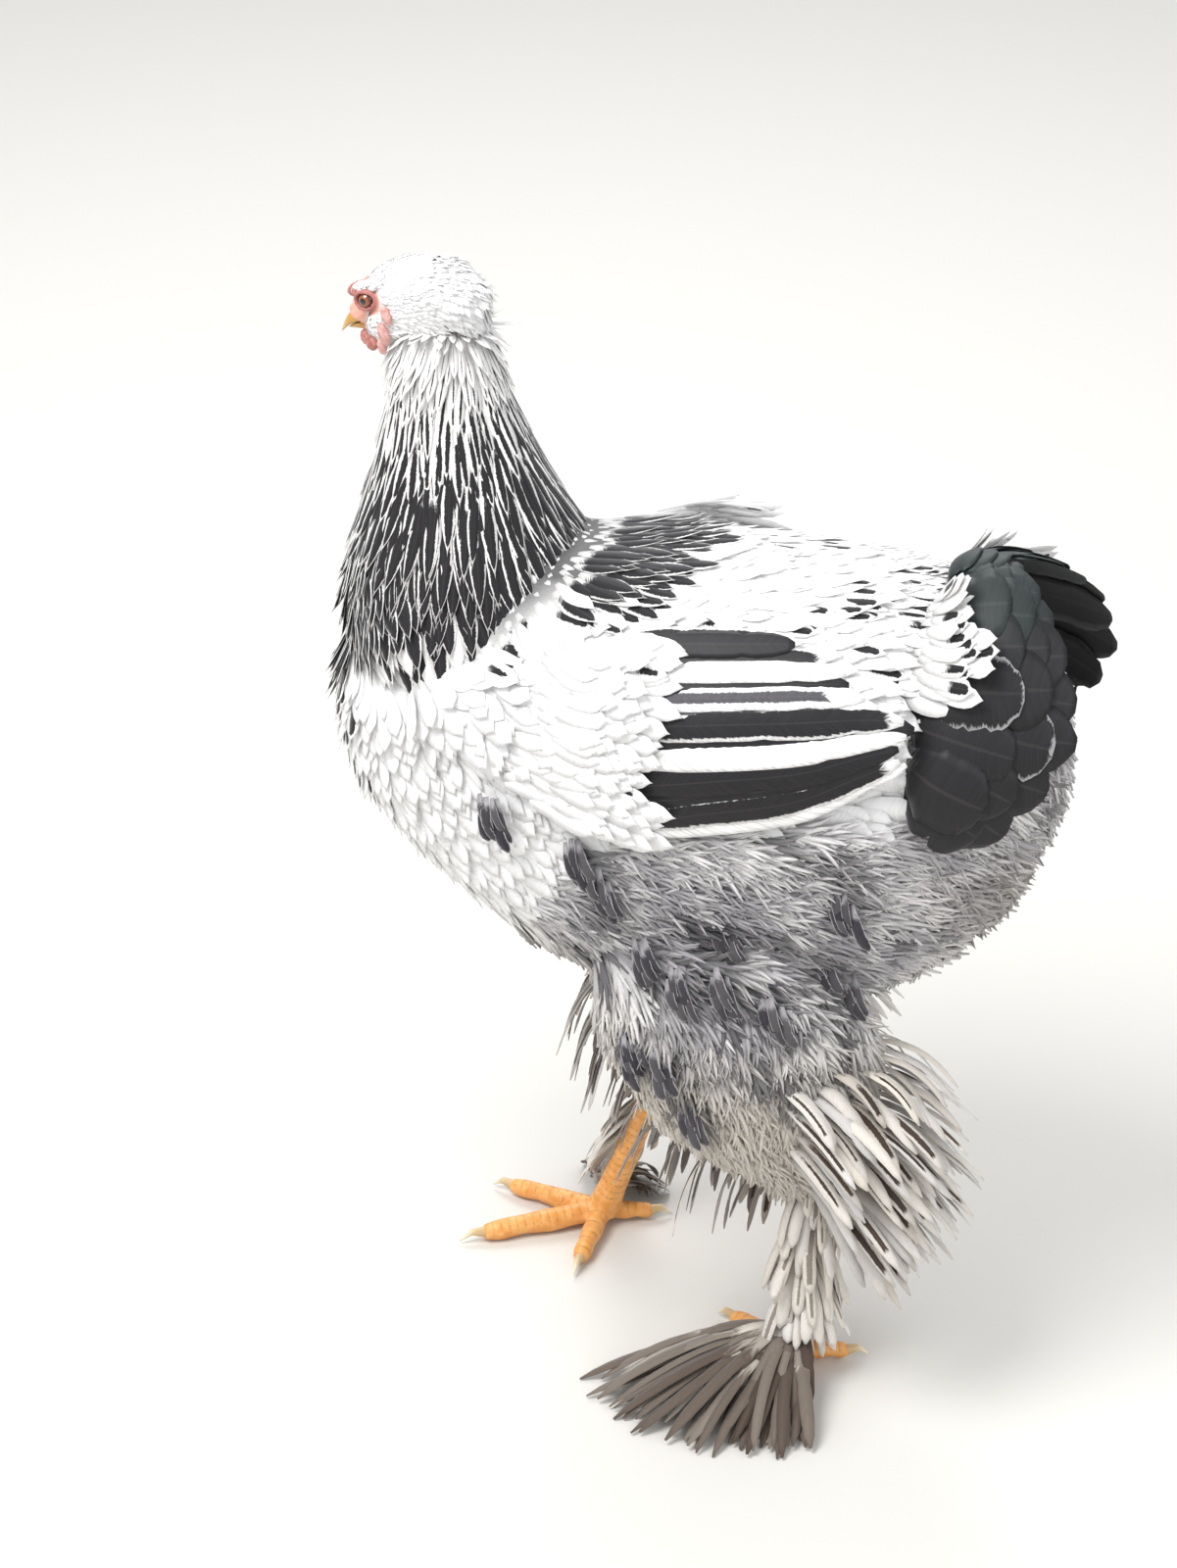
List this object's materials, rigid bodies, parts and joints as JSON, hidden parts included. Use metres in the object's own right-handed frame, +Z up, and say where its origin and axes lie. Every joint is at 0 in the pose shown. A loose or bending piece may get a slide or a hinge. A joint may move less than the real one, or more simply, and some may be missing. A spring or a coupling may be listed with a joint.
{
  "type": "brahma chicken",
  "caption": "Life-size still model of a standing feather-footed brahma hen in mid-stride, with laced feathers and a small comb.",
  "frame": {"origin": "on the floor, under the middle of the bird's box", "axes": "+Z up, the bird faces -Y, its left side is +X"},
  "size_m": [0.2444, 0.3894, 0.5717],
  "materials": {
    "white_plumage": "soft matt feathers",
    "striped_hackle": "black feathers laced with white",
    "black_plumage": "glossy greenish black feathers",
    "grey_fluff": "soft matt down",
    "red_skin": "bare pebbled skin",
    "horn": "smooth horn",
    "yellow_scales": "scaled skin",
    "eye": "wet gloss"
  },
  "bodies": {
    "root": {"torso": "white_plumage", "neck": "striped_hackle", "tail": "black_plumage", "wing_left": "white_plumage", "wing_right": "white_plumage", "head": "white_plumage", "beak_upper": "horn", "beak_lower": "horn", "comb": "red_skin", "wattle_left": "red_skin", "wattle_right": "red_skin", "earlobe_left": "red_skin", "earlobe_right": "red_skin", "eye_left": "eye", "eye_right": "eye", "thigh_left": "grey_fluff", "thigh_right": "grey_fluff", "shank_left": "yellow_scales", "shank_right": "yellow_scales", "foot_left": "yellow_scales", "foot_right": "yellow_scales", "claw_left_inner": "horn", "claw_left_middle": "horn", "claw_left_outer": "horn", "claw_left_hallux": "horn", "claw_right_inner": "horn", "claw_right_middle": "horn", "claw_right_outer": "horn", "claw_right_hallux": "horn"}
  },
  "joints": []
}
